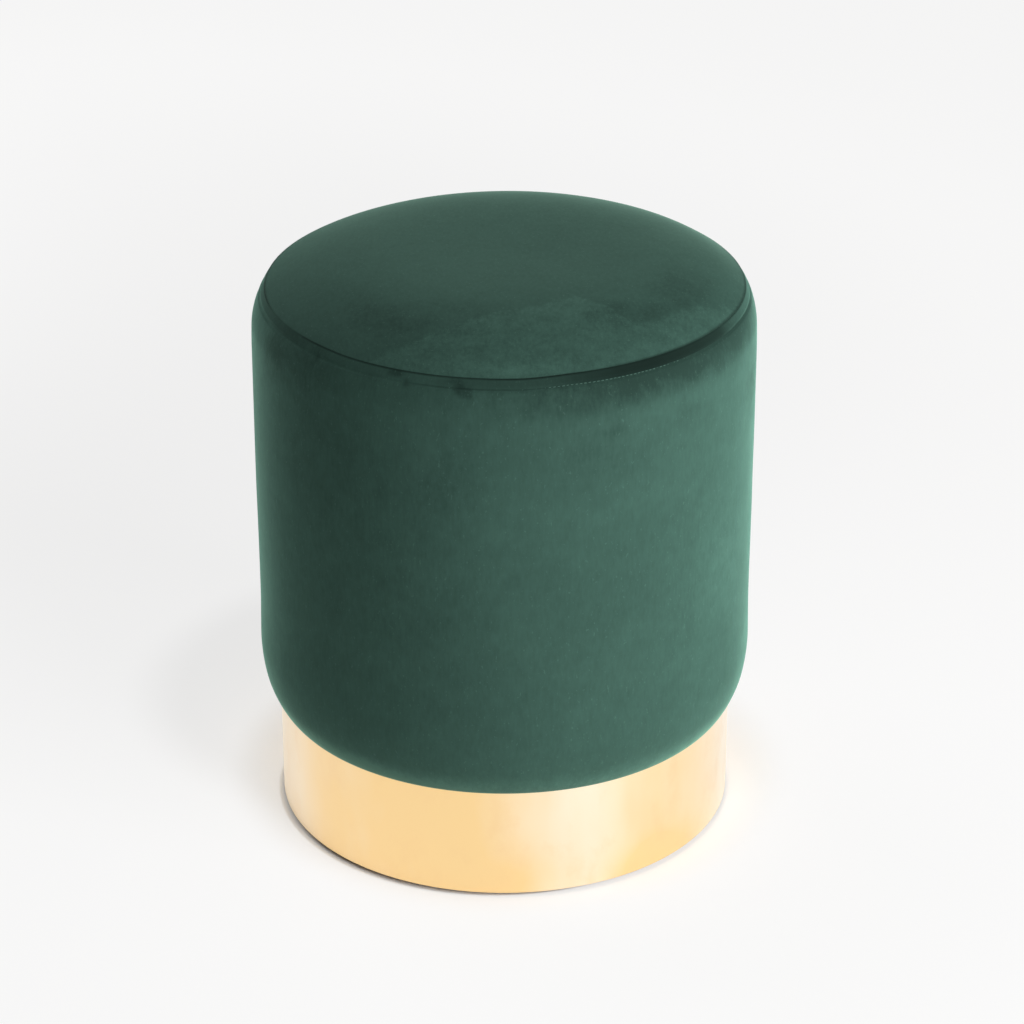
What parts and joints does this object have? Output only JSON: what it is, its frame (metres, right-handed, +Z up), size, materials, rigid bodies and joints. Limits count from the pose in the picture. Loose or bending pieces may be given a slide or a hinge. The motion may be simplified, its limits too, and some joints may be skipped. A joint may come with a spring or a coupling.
{
  "type": "pouf",
  "caption": "Round upholstered pouf with a crowned seat panel, velvet side with a topstitched rim, and a set-back drum plinth wrapped in gold-coloured sheet steel.",
  "frame": {"origin": "on the floor under the middle of the pouf", "axes": "+Z up along the pouf's axis of symmetry; +Y towards the back, where every upright joint lies; the picture looks at the -Y side"},
  "size_m": [0.3512, 0.3514, 0.4213],
  "materials": {
    "velvet": "matte",
    "wadding": "matte",
    "foam": "matte",
    "dust_cloth": "matte",
    "hardboard": "matte",
    "plywood": "matte",
    "fibreboard": "matte",
    "beech": "matte",
    "gold_steel": "polished",
    "zinc_steel": "satin",
    "black_plastic": "satin"
  },
  "bodies": {
    "root": {"top_cover": "velvet", "side_cover": "velvet", "cover_staples": "zinc_steel", "seat_wadding": "wadding", "seat_foam": "foam", "side_foam": "foam", "carcass_shell": "hardboard", "seat_board": "plywood", "base_board": "plywood", "seat_board_screws": "zinc_steel", "base_board_screws": "zinc_steel", "tee_nuts": "zinc_steel", "plinth_bolts": "zinc_steel", "bolt_washers": "zinc_steel", "plinth_band": "gold_steel", "plinth_lining": "plywood", "plinth_top": "fibreboard", "plinth_ring": "fibreboard", "top_block_screws": "zinc_steel", "ring_block_screws": "zinc_steel", "dust_cover": "dust_cloth", "dust_cover_staples": "zinc_steel", "glide_nails": "zinc_steel", "post_1": "beech", "post_2": "beech", "post_3": "beech", "post_4": "beech", "plinth_block_1": "beech", "plinth_block_2": "beech", "plinth_block_3": "beech", "plinth_block_4": "beech", "glide_1": "black_plastic", "glide_2": "black_plastic", "glide_3": "black_plastic", "glide_4": "black_plastic"}
  },
  "joints": []
}
